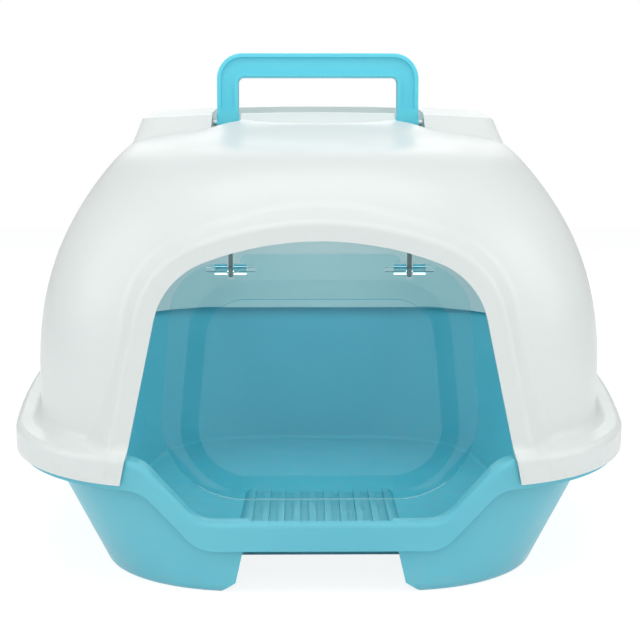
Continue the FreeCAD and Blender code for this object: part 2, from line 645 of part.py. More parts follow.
def dome(name, inset):
    """Dome as a loft of plan outlines, drawn in by inset all round and at the top."""
    body = new_body(name, tilted=True)
    sketches = []
    for section in DOME_SECTIONS:
        lift = "0" if section == "foot" else "<%s_height>" % section
        sketch = new_sketch(body, name + section.title(), "XY_Plane", "%s - (%s)" % (lift, inset))
        half_width = "<%s_half_width> - (%s)" % (section, inset)
        draw_outline(
            sketch, half_width, "<%s_half_length> - (%s)" % (section, inset),
            "<%s_corner> - (%s)" % (section, inset), "<dome_side_ratio> * (%s)" % half_width,
        )
        sketches.append(sketch)
    loft(body, sketches, name + "Loft")
    return body


def prism(name, inset, bottom, length):
    """Skirt outline drawn in by inset and padded up from bottom, square to the rim plane."""
    body = new_body(name, tilted=True)
    sketch = new_sketch(body, name + "Outline", "XY_Plane", bottom)
    draw_outline(
        sketch, "<skirt_half_width> - (%s)" % inset, "<skirt_half_length> - (%s)" % inset,
        "<skirt_corner> - (%s)" % inset, "<skirt_side> - (%s)" % inset,
    )
    pad(body, sketch, length)
    return body


def arch(name, grow, front, depth, taper=None):
    body = new_body(name)
    sketch = new_sketch(body, name + "Arch", "XZ_Plane", front)
    draw_arch(sketch, grow)
    pad(body, sketch, depth, reverse=True, taper=taper)
    return body


def block(name, left, right, front, back, bottom, height, corner, taper=None):
    """Tilted block with round upright corners; front and back count from the dome's axis."""
    body = new_body(name, tilted=True)
    sketch = new_sketch(body, name + "Plan", "XY_Plane", bottom)
    draw_box(sketch, left, right, "-(%s)" % front, back, corner)
    pad(body, sketch, height, taper=taper)
    return body


def upright(name, left, right, front, back, bottom, height, corner):
    """Block that stands upright; front and back are places along Y."""
    body = new_body(name)
    sketch = new_sketch(body, name + "Plan", "XY_Plane", bottom)
    draw_box(sketch, left, right, front, back, corner)
    pad(body, sketch, height)
    return body


def rod(name, at, x, length, radius):
    """Round bar along X on the handle's or the flap's axis."""
    body = new_body(name)
    at(body, x)
    sketch = new_sketch(body, name + "Round", "YZ_Plane")
    draw_circle(sketch, radius)
    pad(body, sketch, length)
    return body


def post(name, x, bottom, height, radius):
    """Upright round bar above the flap's axis."""
    body = new_body(name)
    at_flap(body, x)
    sketch = new_sketch(body, name + "Round", "XY_Plane", bottom)
    draw_circle(sketch, radius)
    pad(body, sketch, height)
    return body


def slots(name, bottom, height):
    """Row of vent slots over the filter well."""
    body = new_body(name, tilted=True)
    sketch = new_sketch(body, name + "Slot", "XY_Plane", bottom)
    middle = "<vent_pitch> * (<vent_count> - 1) / 2"
    draw_box(
        sketch, "-%s - <vent_width> / 2" % middle, "-%s + <vent_width> / 2" % middle,
        "-<well_front> + <vent_margin>", "<well_back> - <vent_margin>", "<vent_width> * 0.49",
    )
    repeat(body, sketch, pad(body, sketch, height), "<vent_pitch>", "<vent_count>")
    return body


def under_crown(name, inset):
    """Everything under the deck's crowned top, lowered by inset."""
    body = new_body(name, tilted=True)
    sketch = new_sketch(body, name + "Arc", "XZ_Plane", up="-(%s)" % inset)
    draw_crown(sketch)
    pad(body, sketch, "<skirt_half_length>", both=True)
    return body


def deck(name, inset):
    """Raised deck round the handle: leaning walls under a crowned top, drawn in by inset."""
    walls = new_body(name + "Walls", tilted=True)
    sketches = []
    for end, lift in (("Foot", "<deck_base>"), ("Top", "<deck_top> + <deck_edge>")):
        side = "<deck_half_width> + (<deck_top> - (%s)) * tan(<deck_draft>) - (%s)" % (lift, inset)
        ends = "(<deck_top> - (%s)) * tan(<deck_slope>) - (%s)" % (lift, inset)
        sketch = new_sketch(walls, name + end, "XY_Plane", lift)
        draw_box(
            sketch, "-(%s)" % side, side, "-(<deck_front> + %s)" % ends, "<deck_back> + %s" % ends,
            "<deck_corner> - (%s)" % inset,
        )
        sketches.append(sketch)
    loft(walls, sketches, name + "Loft")
    return join("MultiCommon", name, walls, under_crown(name + "Crown", inset))


def on_crown(edge):
    radius, top = value("<deck_crown>"), value("<deck_top>")
    points = [to_rim(point) for point in edge.discretize(5)]
    return all(abs(p.z - top + radius - math.sqrt(radius ** 2 - p.x ** 2)) < 0.02 for p in points)


def on_casing_front(edge):
    return all(abs(point.y + value("<casing_front>")) < 0.05 for point in edge.discretize(9))


def on_skirt(edge):
    reach = value("<skirt_edge>") + 1
    points = [to_rim(point) for point in edge.discretize(9)]
    wide = max(abs(p.x) for p in points) > value("<skirt_half_width>") - reach
    return wide or max(abs(p.y) for p in points) > value("<skirt_half_length>") - reach


def above_skirt(edge):
    return max(rim_heights(edge)) > value("<hood_wall>") + 1


# Hood: one outside shape, rounded where its parts meet, then hollowed to a shell.
dome_outside = dome("DomeOutside", "0")
casing_outside = arch(
    "CasingOutside", "<casing_band>", "<casing_front>", "<casing_depth>", "<casing_flare>",
)
above_rim = block(
    "AboveRim", "-<skirt_half_width>", "<skirt_half_width>", "<skirt_half_length> * 1.2", "0", "0",
    "<deck_top> * 1.2", "<hood_wall>",
)
casing_above = join("MultiCommon", "CasingAbove", casing_outside, above_rim)
skirt_slab = prism("SkirtSlab", "0", "-<skirt_drop>", "<skirt_drop> + <hood_wall>")
round_edges(skirt_slab, "SkirtEdge", "<skirt_edge>", flat_at("<hood_wall>"))
deck_outside = deck("DeckOutside", "0")
hood_outside = join("MultiFuse", "HoodOutside", dome_outside, casing_above, deck_outside, skirt_slab)
hood_hull = finish("HoodHull", hood_outside)
round_edges(hood_hull, "CasingFillet", "<casing_fillet>", meets(casing_above, dome_outside))
round_edges(
    hood_hull, "CasingEdge", "<casing_edge>", lambda edge: on_casing_front(edge) and above_skirt(edge),
)
round_edges(
    hood_hull, "DomeFootFillet", "<dome_foot_fillet>",
    lambda edge: level(edge, value("<hood_wall>")) and not on_skirt(edge) and not on_casing_front(edge),
)
round_edges(hood_hull, "DeckEdge", "<deck_edge>", on_crown)

casing_inside = arch(
    "CasingInside", "<casing_band> - <hood_wall>", "<casing_front> - <hood_wall>", "<casing_depth>",
    "<casing_flare>",
)
dome_inside = dome("DomeInside", "<hood_wall>")
deck_inside = deck("DeckInside", "<hood_wall>")
skirt_inside = prism(
    "SkirtInside", "<hood_wall>", "-(<skirt_drop> + <hood_wall>)", "<skirt_drop> + <hood_wall>",
)
hood_inside = join("MultiFuse", "HoodInside", dome_inside, casing_inside, deck_inside, skirt_inside)

# Walls that the hood carries inside: handle pocket, filter well, pivot bosses and hanger bosses.
POCKET_FLOOR = "<deck_top> - <pocket_depth>"
WELL_FLOOR = "<deck_top> - <pocket_depth> - <well_depth>"
pocket_tub = block(
    "PocketTub", "-(<pocket_half_width> + <hood_wall>)", "<pocket_half_width> + <hood_wall>",
    "<pocket_front> + <hood_wall>", "<pocket_back> + <hood_wall>", POCKET_FLOOR + " - <hood_wall>",
    "<pocket_depth> + 2 * <hood_wall>", "<pocket_corner> + <hood_wall>",
)
well_tub = block(
    "WellTub", "-(<well_half_width> + <well_wall>)", "<well_half_width> + <well_wall>",
    "<well_front> + <well_wall>", "<well_back> + <well_wall>", WELL_FLOOR + " - <well_floor>",
    "<well_depth> + <well_floor> - <hood_wall> / 2", "<cover_corner> + <well_wall>",
)
pivot_boss = rod(
    "PivotBoss", at_handle, "<pocket_half_width> + <hood_wall> / 2", "<hood_wall> / 2 + <pivot_boss>",
    "<pivot_boss_radius>",
)
HANGER_IN = "<hanger_place> - <hanger_thick> / 2"
HANGER_OUT = "<hanger_place> + <hanger_thick> / 2 + <hanger_foot>"
hanger_boss = upright(
    "HangerBoss", HANGER_IN, HANGER_OUT, "-<hinge_front> - <hanger_foot_width> / 2",
    "-<hinge_front> + <hanger_foot_width> / 2", "<hinge_height> + <hanger_rise>", "<boss_height>",
    "<hanger_thick>",
)
hood_walls = join(
    "MultiFuse", "HoodWalls", pocket_tub, well_tub, pivot_boss, mirrored("PivotBossLeft", pivot_boss),
    hanger_boss, mirrored("HangerBossLeft", hanger_boss),
)
hood_cavity = join("Cut", "HoodCavity", hood_inside, hood_walls)
hood_shell = join("Cut", "HoodShell", hood_hull, hood_cavity)

pocket_room = block(
    "PocketRoom", "-<pocket_half_width>", "<pocket_half_width>", "<pocket_front>", "<pocket_back>",
    POCKET_FLOOR, "<pocket_depth> * 2", "<pocket_corner>",
)
notch = block(
    "Notch", "<notch_inner>", "<notch_inner> + <notch_width>", "<deck_front> * 2", "0",
    "<deck_top> - <notch_depth>", "<notch_depth> * 2", "<notch_corner>",
)
well_room = block(
    "WellRoom", "-<well_half_width>", "<well_half_width>", "<well_front>", "<well_back>", WELL_FLOOR,
    "<well_depth> + <hood_wall>", "<cover_corner>",
)
well_vents = slots("WellVents", WELL_FLOOR + " - 2 * <well_floor>", "3 * <well_floor>")
handle_pin_seat = rod(
    "HandlePinSeat", at_handle, "<pocket_half_width> - <hood_wall>", "<handle_pin_bite> + <hood_wall>",
    "<handle_pin_radius> + <seat_gap>",
)
SCREW_X = "<hanger_place> + <hanger_thick> + <hanger_foot> / 2"
FOOT_UNDER = "<hanger_rise> - <hanger_foot_thick>"
screw_seat = post(
    "ScrewSeat", SCREW_X, FOOT_UNDER, "<screw_length> + <screw_radius>", "<screw_radius> + <seat_gap>",
)
doorway = arch("Doorway", "0", "<casing_front> * 1.2", "<casing_front> * 0.2 + <casing_depth>")
hood_openings = join(
    "MultiFuse", "HoodOpenings", pocket_room, notch, mirrored("NotchLeft", notch), well_room, well_vents,
    handle_pin_seat, mirrored("HandlePinSeatLeft", handle_pin_seat), screw_seat,
    mirrored("ScrewSeatLeft", screw_seat), doorway,
)
hood = join("Cut", "Hood", hood_shell, hood_openings)


def handle_frame(name, inset, bottom, thick, lift="0"):
    """Bail shape: a bar on two legs, drawn in by inset on every side."""
    body = new_body(name)
    at_handle(body)
    outer = new_sketch(body, name + "Outer", "XZ_Plane", lift)
    side, corner = "<handle_half_width> - (%s)" % inset, "<handle_corner> - (%s)" % inset
    draw_box(outer, "-(%s)" % side, side, "-<handle_corner>", "<handle_height> - (%s)" % inset, corner)
    pad(body, outer, thick, both=True)
    inner = new_sketch(body, name + "Inner", "XZ_Plane", lift)
    side = "<handle_half_width> - <handle_leg> + (%s)" % inset
    draw_box(
        inner, "-(%s)" % side, side, "-2 * <handle_height>",
        "<handle_height> - <handle_bar> + (%s)" % inset, "<handle_inner_corner> + (%s)" % inset,
    )
    pocket(body, inner, "4 * <handle_thick>")
    foot = new_sketch(body, name + "Foot", "XZ_Plane", lift)
    draw_box(
        foot, "-2 * <handle_half_width>", "2 * <handle_half_width>", "-2 * <handle_height>", bottom,
        "<handle_inner_corner>",
    )
    pocket(body, foot, "4 * <handle_thick>")
    return body


def on_handle_face(edge):
    half = value("<handle_thick> / 2")
    return all(abs(abs(point.y) - half) < 0.02 for point in edge.discretize(5))


# Carry handle on two hubs, hollowed along both faces.
handle_bail = handle_frame("HandleBail", "0", "0", "<handle_thick>")
round_edges(handle_bail, "HandleEdge", "<handle_edge>", on_handle_face)
HUB_IN = "<handle_half_width> - <handle_leg> - <hub_side>"
HUB_LENGTH = "<handle_leg> + 2 * <hub_side>"
hub = rod("Hub", at_handle, HUB_IN, HUB_LENGTH, "<hub_radius>")
handle_solid = join("MultiFuse", "HandleSolid", handle_bail, hub, mirrored("HubLeft", hub))
hub_bore = rod(
    "HubBore", at_handle, HUB_IN + " - <hub_side>", HUB_LENGTH + " + 2 * <hub_side>",
    "<handle_pin_radius> + <running_gap>",
)
hollow_front = handle_frame(
    "HollowFront", "<handle_rim>", "<hub_radius> + <handle_rim>", "2 * <handle_hollow>", "<handle_thick> / 2",
)
hollow_back = handle_frame(
    "HollowBack", "<handle_rim>", "<hub_radius> + <handle_rim>", "2 * <handle_hollow>", "-<handle_thick> / 2",
)
handle_rooms = join(
    "MultiFuse", "HandleRooms", hollow_front, hollow_back, hub_bore, mirrored("HubBoreLeft", hub_bore),
)
handle = join("Cut", "Handle", handle_solid, handle_rooms)
handle_pin = rod(
    "HandlePin", at_handle, HUB_IN, "<pocket_half_width> + <handle_pin_bite> - (%s)" % HUB_IN,
    "<handle_pin_radius>",
)
handle_pin_left = mirrored("HandlePinLeft", handle_pin)

# Odour filter in its well, under a vented cover with a finger bar.
charcoal_filter = block(
    "CharcoalFilter", "-(<well_half_width> - <filter_gap>)", "<well_half_width> - <filter_gap>",
    "<well_front> - <filter_gap>", "<well_back> - <filter_gap>", WELL_FLOOR, "<filter_thick>",
    "<cover_corner> - <filter_gap>",
)
cover_plate = block(
    "CoverPlate", "-(<well_half_width> + <cover_lap>)", "<well_half_width> + <cover_lap>",
    "<well_front> + <cover_lap>", "<well_back> + <cover_lap>", POCKET_FLOOR, "<cover_thick>",
    "<cover_corner>",
)
cover_vents = slots("CoverVents", POCKET_FLOOR + " - <cover_thick>", "3 * <cover_thick>")
cover_grille = join("Cut", "CoverGrille", cover_plate, cover_vents)
COVER_MIDDLE = "(<well_back> - <well_front>) / 2"
cover_grip = block(
    "CoverGrip", "-<cover_grip_length> / 2", "<cover_grip_length> / 2",
    "<cover_grip_width> / 2 - %s" % COVER_MIDDLE, "<cover_grip_width> / 2 + %s" % COVER_MIDDLE,
    POCKET_FLOOR, "<cover_grip_height>", "<cover_grip_width> * 0.4",
)
filter_cover = join("MultiFuse", "FilterCover", cover_grille, cover_grip)


def draw_pressed(sketch, inset):
    """Outline of the flap's pressed panel, drawn in by inset."""
    draw_panel(
        sketch, "<panel_half_width> - (%s) / cos(<flap_lean>)" % inset, "-<panel_top> - (%s)" % inset,
        "-<flap_bottom> + <panel_margin_bottom> + (%s)" % inset, "<flap_lean>",
        "<panel_corner_top> - (%s)" % inset, "<panel_corner_bottom> - (%s)" % inset,
    )


# Door flap: a plate with a middle tab, a pressed panel and knuckles beside its two hangers.
flap = new_body("Flap")
at_flap(flap)
plate = new_sketch(flap, "FlapPlate", "XZ_Plane")
draw_panel(
    plate, "<flap_half_width>", "<flap_shoulder_top>", "-<flap_bottom>", "<flap_lean>",
    "<flap_shoulder_radius>", "<flap_bottom_corner>",
)
pad(flap, plate, "<flap_thick>", both=True)
tab = new_sketch(flap, "FlapTab", "XZ_Plane")
draw_box(
    tab, "-<flap_tab_half_width>", "<flap_tab_half_width>", "-2 * <flap_tab_top>", "<flap_tab_top>",
    "<flap_tab_corner>",
)
pad(flap, tab, "<flap_thick>", both=True)
for name, face, kind in (
    ("PanelFront", "<flap_thick> / 2", "AdditiveLoft"),
    ("PanelBack", "-<flap_thick> / 2", "SubtractiveLoft"),
):
    border = new_sketch(flap, name + "Border", "XZ_Plane", face)
    draw_pressed(border, "0")
    field = new_sketch(flap, name + "Field", "XZ_Plane", face + " + <panel_rise>")
    draw_pressed(field, "<panel_bevel>")
    loft(flap, [border, field], name, kind)
SLOT_IN = "<hanger_place> - <hanger_thick> / 2 - <flap_slot_gap>"
SLOT_OUT = "<hanger_place> + <hanger_thick> / 2 + <flap_slot_gap>"
for name, left, right in (
    ("SlotRight", SLOT_IN, SLOT_OUT),
    ("SlotLeft", "-(%s)" % SLOT_OUT, "-(%s)" % SLOT_IN),
):
    slot = new_sketch(flap, name, "XZ_Plane")
    draw_box(slot, left, right, "-<flap_slot_bottom>", "2 * <flap_tab_top>", "<flap_slot_gap>")
    pocket(flap, slot, "4 * <flap_thick>")
for name, start in (
    ("KnuckleA", SLOT_OUT), ("KnuckleB", SLOT_IN + " - <knuckle_length>"),
    ("KnuckleC", "-(%s)" % SLOT_IN), ("KnuckleD", "-(%s + <knuckle_length>)" % SLOT_OUT),
):
    knuckle = new_sketch(flap, name, "YZ_Plane", start)
    draw_circle(knuckle, "<knuckle_radius>")
    pad(flap, knuckle, "<knuckle_length>")
for name, middle in (("PinSeatRight", "<hanger_place>"), ("PinSeatLeft", "-<hanger_place>")):
    seat = new_sketch(flap, name, "YZ_Plane", middle)
    draw_circle(seat, "<flap_pin_radius> + <seat_gap>")
    pocket(flap, seat, "4 * <knuckle_length>")
flap_pin = rod(
    "FlapPin", at_flap, SLOT_IN + " - <knuckle_length>",
    "<hanger_thick> + 2 * <flap_slot_gap> + 2 * <knuckle_length>", "<flap_pin_radius>",
)
flap_pin_left = mirrored("FlapPinLeft", flap_pin)

# Hangers that carry the flap, each screwed up into a boss of the hood.
hanger_plate = new_body("HangerPlate")
at_flap(hanger_plate)
eye = new_sketch(hanger_plate, "HangerEye", "YZ_Plane", HANGER_IN)
draw_circle(eye, "<hanger_eye>")
pad(hanger_plate, eye, "<hanger_thick>")
stem = new_sketch(hanger_plate, "HangerStem", "YZ_Plane", HANGER_IN)
draw_box(stem, "-<hanger_stem> / 2", "<hanger_stem> / 2", "0", "<hanger_rise>", "<hanger_thick> / 4")
pad(hanger_plate, stem, "<hanger_thick>")
foot = new_sketch(hanger_plate, "HangerFoot", "XY_Plane", FOOT_UNDER)
draw_box(
    foot, HANGER_IN, HANGER_OUT, "-<hanger_foot_width> / 2", "<hanger_foot_width> / 2", "<hanger_thick>",
)
pad(hanger_plate, foot, "<hanger_foot_thick>")
eye_bore = new_sketch(hanger_plate, "HangerEyeBore", "YZ_Plane", "<hanger_place>")
draw_circle(eye_bore, "<flap_pin_radius> + <running_gap>")
pocket(hanger_plate, eye_bore, "2 * <hanger_thick>")
hanger = join("Cut", "Hanger", hanger_plate, screw_seat)
hanger_left = mirrored("HangerLeft", hanger)
shank = post(
    "ScrewShank", SCREW_X, FOOT_UNDER + " - <screw_head>", "<screw_head> + <screw_length>", "<screw_radius>",
)
head = post("ScrewHead", SCREW_X, FOOT_UNDER + " - <screw_head>", "<screw_head>", "<screw_head_radius>")
screw = join("MultiFuse", "Screw", shank, head)
hanger_screws = join("MultiFuse", "HangerScrews", screw, mirrored("ScrewLeft", screw))


def basin(name, inset, floor, lift, edge):
    """Tray's bowl from the floor up to the sloping rim plane, drawn in by inset."""
    body = new_body(name)
    low = new_sketch(body, name + "Floor", "XY_Plane", floor)
    high = new_sketch(body, name + "Rim", "XY_Plane", "<rim_height> + (%s)" % lift)
    high.AttachmentOffset = FreeCAD.Placement(Vector(), FreeCAD.Rotation(Vector(1, 0, 0), 1))
    bind(high, AttachmentOffset__Rotation__Angle="<rim_slope>")
    for sketch, stage in ((low, "tray"), (high, "rim")):
        half_width = "<%s_half_width> - (%s)" % (stage, inset)
        draw_outline(
            sketch, half_width, "<%s_half_length> - (%s)" % (stage, inset),
            "<%s_corner> - (%s)" % (stage, inset), "<tray_side_ratio> * (%s)" % half_width,
        )
    loft(body, [high, low], name + "Loft")
    round_edges(body, name + "Round", edge, flat_at(floor))
    return body


def under_rim(name, drop):
    """Everything below the tray's rim, lowered by drop; only the front half dips."""
    body = new_body(name, tilted=True)
    dip = new_sketch(body, name + "Dip", "XZ_Plane", up="-(%s)" % drop)
    draw_dip(dip)
    pad(body, dip, "<skirt_half_length> * 1.2")
    rear = new_sketch(body, name + "Rear", "XZ_Plane", up="-(%s)" % drop)
    wide = "<skirt_half_width> * 1.2"
    draw_box(rear, "-" + wide, wide, "-2 * <rim_height>", "0", "<rim_edge>")
    pad(body, rear, "<skirt_half_length> * 1.2", reverse=True)
    return body


def step(name, half_width, top, lean, corner, back):
    """Leaning-sided block under the entry step; half_width is taken at the floor."""
    body = new_body(name)
    sketch = new_sketch(body, name + "Face", "XZ_Plane", "<recess_front>")
    draw_panel(sketch, half_width, top, "-<step_wall> * 4", lean, corner, "<recess_corner>")
    pad(body, sketch, "<recess_front> - (%s)" % back, reverse=True)
    return body


# Tray: a bowl with a down-turned lip; the rim dips in front to an entry step over a hollow.
basin_outside = basin("BasinOutside", "0", "0", "0", "<tray_edge>")
basin_inside = basin(
    "BasinInside", "<tray_wall>", "<tray_wall>", "<tray_wall> / 2", "<tray_edge> - <tray_wall>",
)
rim_top = under_rim("RimTop", "0")
LIP_INSET = "<hood_wall> + <skirt_clearance>"
lip_prism = prism("LipPrism", LIP_INSET, "-3 * <rim_height>", "4 * <rim_height>")
lip_solid = join("MultiCommon", "LipSolid", lip_prism, rim_top)
lip_band = join("Cut", "LipBand", lip_solid, under_rim("RimLow", "<lip_height>"))
bowl = join("MultiCommon", "Bowl", basin_outside, rim_top)
tray_hull = finish("TrayHull", join("MultiFuse", "TrayOutside", bowl, lip_band))
round_edges(tray_hull, "RimEdge", "<rim_edge>", meets(lip_prism, rim_top))

ear_block = new_body("EarBlock", tilted=True)
at_latch(ear_block)
ear = new_sketch(ear_block, "EarFace", "XZ_Plane")
draw_box(
    ear, "-(<skirt_half_width> - <rim_half_width> + 4 * <ear_radius>)", "<ear_radius>", "-<ear_radius>",
    "<ear_radius>", "<ear_radius> * 0.99",
)
pad(ear_block, ear, "<latch_width> + 2 * <latch_side_gap> + 2 * <ear_thick>", both=True)
gap = new_sketch(ear_block, "EarGap", "XZ_Plane")
draw_box(
    gap, "-(<skirt_half_width> - <rim_half_width> + 6 * <ear_radius>)", "2 * <ear_radius>",
    "-2 * <ear_radius>", "2 * <ear_radius>", "<ear_radius> / 4",
)
pocket(ear_block, gap, "<latch_width> + 2 * <latch_side_gap>")
ear_bore = new_sketch(ear_block, "EarBore", "XZ_Plane")
draw_circle(ear_bore, "<latch_pin_radius> + <seat_gap>")
pocket(ear_block, ear_bore, "2 * <latch_width>")

step_solid = step(
    "StepSolid", "<recess_half_width> + <step_wall> / cos(<recess_lean>)", "<step_top>", "<recess_lean>",
    "<recess_corner> + <step_wall>", "<step_back>",
)
step_recess = step(
    "StepRecess", "<recess_half_width>", "<step_top> - <step_wall>", "<recess_lean>", "<recess_corner>",
    "<step_back> + <step_wall>",
)
step_flare = step(
    "StepFlare",
    "<recess_half_width> + <recess_flare_height> * (tan(<recess_flare_lean>) - tan(<recess_lean>))",
    "<recess_flare_height>", "<recess_flare_lean>", "<recess_corner>", "<step_back> + <step_wall>",
)
lip_inner = prism("LipInner", LIP_INSET + " + <tray_wall>", "-2 * <rim_height>", "2 * <rim_height>")
under_lip = join("MultiCommon", "UnderLip", lip_inner, under_rim("RimUnderside", "<rim_thick>"))
lip_ring = join("Cut", "LipRing", under_lip, basin_outside)
lip_room = join("Cut", "LipRoom", lip_ring, step_solid)
tray_room = join("Cut", "TrayRoom", basin_inside, step_solid)
GROOVES_HALF = "<groove_pitch> * <groove_count> / 2"
step_level = upright(
    "StepLevel", "-" + GROOVES_HALF, GROOVES_HALF, "-(<groove_front> + <groove_margin>)",
    "-<step_back> + <step_wall>", "<step_top>", "<step_top>", "<groove_margin>",
)
grooves = new_body("Grooves")
groove = new_sketch(grooves, "Groove", "XY_Plane", "<step_top> - <groove_depth>")
FIRST_GROOVE = "-<groove_pitch> * (<groove_count> - 1) / 2"
draw_box(
    groove, FIRST_GROOVE + " - <groove_width> / 2", FIRST_GROOVE + " + <groove_width> / 2",
    "-<groove_front>", "-<step_back> + <step_wall>", "<groove_width> * 0.49",
)
repeat(grooves, groove, pad(grooves, groove, "<step_top>"), "<groove_pitch>", "<groove_count>")
tray_openings = join(
    "MultiFuse", "TrayOpenings", tray_room, step_recess, step_flare, step_level, grooves,
)
tray_shell = join("Cut", "TrayShell", tray_hull, lip_room)
tray_eared = join("MultiFuse", "TrayEared", tray_shell, ear_block, mirrored("EarBlockLeft", ear_block))
tray = join("Cut", "Tray", tray_eared, tray_openings)

# Side catches, hanging open; turned up they hook over the hood's skirt.
latch_plate = new_body("LatchPlate", tilted=True)
at_latch(latch_plate)
OUTER = "<latch_pivot_out> - <latch_skirt_gap>"
TIP = "<latch_pivot_drop> + <hood_wall> + <latch_hook_gap>"
for name, left, right, low in (
    ("LatchSheet", "<latch_thick>", "0", "0"),
    ("LatchHook", "<latch_thick> + <latch_tab>", "<latch_hook>", TIP),
):
    sheet_face = new_sketch(latch_plate, name, "XZ_Plane")
    draw_box(
        sheet_face, "%s - (%s)" % (OUTER, left), "%s + %s" % (OUTER, right),
        "-(%s + <latch_thick>)" % TIP, "-(%s)" % low, "<latch_thick> / 4",
    )
    pad(latch_plate, sheet_face, "<latch_width>", both=True)
latch_knuckle = new_sketch(latch_plate, "LatchKnuckle", "XZ_Plane")
draw_circle(latch_knuckle, "<latch_knuckle>")
pad(latch_plate, latch_knuckle, "<latch_width>", both=True)
latch_bore = new_sketch(latch_plate, "LatchBore", "XZ_Plane")
draw_circle(latch_bore, "<latch_pin_radius> + <running_gap>")
pocket(latch_plate, latch_bore, "2 * <latch_width>")
latch_left = mirrored("LatchLeft", latch_plate)
latch_pin = new_body("LatchPin", tilted=True)
at_latch(latch_pin)
latch_pin_face = new_sketch(latch_pin, "LatchPinRound", "XZ_Plane")
draw_circle(latch_pin_face, "<latch_pin_radius>")
pad(latch_pin, latch_pin_face, "<latch_width> + 2 * <latch_side_gap> + 2 * <ear_thick>", both=True)
latch_pin_left = mirrored("LatchPinLeft", latch_pin)

NODES = {
    "tray": tray,
    "hood": hood,
    "door_flap": flap,
    "flap_hanger_right": hanger,
    "flap_hanger_left": hanger_left,
    "hanger_screws": hanger_screws,
    "flap_pin_right": flap_pin,
    "flap_pin_left": flap_pin_left,
    "carry_handle": handle,
    "handle_pin_right": handle_pin,
    "handle_pin_left": handle_pin_left,
    "charcoal_filter": charcoal_filter,
    "filter_cover": filter_cover,
    "latch_right": latch_plate,
    "latch_left": latch_left,
    "latch_pin_right": latch_pin,
    "latch_pin_left": latch_pin_left,
}

doc.recompute()
for item in doc.Objects:
    if "Invalid" in item.State or "Error" in item.State:
        raise RuntimeError("%s did not rebuild" % item.Name)
os.makedirs("parts", exist_ok=True)
for name, item in NODES.items():
    if item.Shape.isNull() or not item.Shape.isValid():
        raise RuntimeError("%s has no sound shape" % name)
    item.Label = name
    item.Shape.exportStep("parts/%s.step" % name)
    print(name, "solids", len(item.Shape.Solids), "volume %.1f cm3" % (item.Shape.Volume / 1000))
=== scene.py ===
# %% [markdown]
# Hooded litter box, dressed for a studio picture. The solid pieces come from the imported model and
# already sit where they belong, in metres, with the floor at Z = 0 and the doorway towards -Y.
# This lesson gives them their moulded finishes, models the soft filter pad, and sets up the stage.

# %% Load the solid pieces
import math
import bpy
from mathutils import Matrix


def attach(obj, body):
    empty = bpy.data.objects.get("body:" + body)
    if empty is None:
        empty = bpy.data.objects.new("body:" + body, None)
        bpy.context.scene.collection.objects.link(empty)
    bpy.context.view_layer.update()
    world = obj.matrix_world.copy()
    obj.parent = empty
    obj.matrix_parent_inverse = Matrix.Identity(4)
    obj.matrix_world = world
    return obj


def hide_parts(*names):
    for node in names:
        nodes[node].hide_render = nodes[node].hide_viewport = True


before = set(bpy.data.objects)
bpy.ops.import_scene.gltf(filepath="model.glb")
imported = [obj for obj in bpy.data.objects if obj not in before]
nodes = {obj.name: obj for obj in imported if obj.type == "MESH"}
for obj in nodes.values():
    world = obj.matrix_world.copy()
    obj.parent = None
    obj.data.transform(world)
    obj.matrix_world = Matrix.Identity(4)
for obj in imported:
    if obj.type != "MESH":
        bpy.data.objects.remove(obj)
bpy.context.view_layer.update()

scene = bpy.context.scene
scene.view_settings.view_transform = "Standard"
print("pieces loaded:", len(nodes))

# %% [markdown]
# The picture is taken from the front with a long lens, well above the rim and looking slightly down.
# The lens is set from its scale in the picture: at 640 pixels across, its focal length is 1390 pixels,
# which is a 78 mm lens on a 36 mm film back. The camera stands 1.1 m in front of the box's middle.

# %% Camera
LENS_PIXELS = 1390
PICTURE_PIXELS = 640
FILM_WIDTH = 36
CAMERA_PLACE = (-0.0095, -1.1, 0.282)
LOOK_DOWN, LOOK_RIGHT = math.radians(6.97), math.radians(0.6)
camera_data = bpy.data.cameras.new("front_camera")
camera_data.sensor_fit = "HORIZONTAL"
camera_data.sensor_width = FILM_WIDTH
camera_data.lens = FILM_WIDTH * LENS_PIXELS / PICTURE_PIXELS
camera = bpy.data.objects.new("front_camera", camera_data)
scene.collection.objects.link(camera)
camera.location = CAMERA_PLACE
camera.rotation_euler = (math.pi / 2 - LOOK_DOWN, 0, -LOOK_RIGHT)
scene.camera = camera
print("lens:", round(camera_data.lens, 1), "mm")

# %% [markdown]
# The stage is one pale sheet for a floor. For the lens it glows almost white, as a sheet does that is
# lit on its own, and part of its colour still comes from the lamps, so that the box keeps a soft shadow
# under its feet. Small helpers build the shader nodes that come up again and again.

# %% Shader helpers
def new_material(name):
    material = bpy.data.materials.new(name)
    material.use_nodes = True
    tree = material.node_tree
    tree.nodes.clear()
    out = tree.nodes.new("ShaderNodeOutputMaterial")
    return material, tree, out


def math_node(tree, operation, first, second):
    node = tree.nodes.new("ShaderNodeMath")
    node.operation = operation
    for value, socket in zip((first, second), node.inputs):
        if isinstance(value, float):
            socket.default_value = value
        else:
            tree.links.new(value, socket)
    return node.outputs[0]


def mix_shaders(tree, factor, first, second):
    node = tree.nodes.new("ShaderNodeMixShader")
    for value, socket in zip((factor, first.outputs[0], second.outputs[0]), node.inputs):
        tree.links.new(value, socket)
    return node.outputs[0]


def add_bump(tree, height, strength, distance, body):
    bump = tree.nodes.new("ShaderNodeBump")
    bump.inputs["Strength"].default_value = strength
    bump.inputs["Distance"].default_value = distance
    tree.links.new(height, bump.inputs["Height"])
    tree.links.new(bump.outputs["Normal"], body.inputs["Normal"])


print("shader helpers ready")

# %% Floor
GLOW_STRENGTH = 1.24
GLOW_SHARE = 0.7


def deselect_all():
    for thing in bpy.context.selected_objects:
        thing.select_set(False)


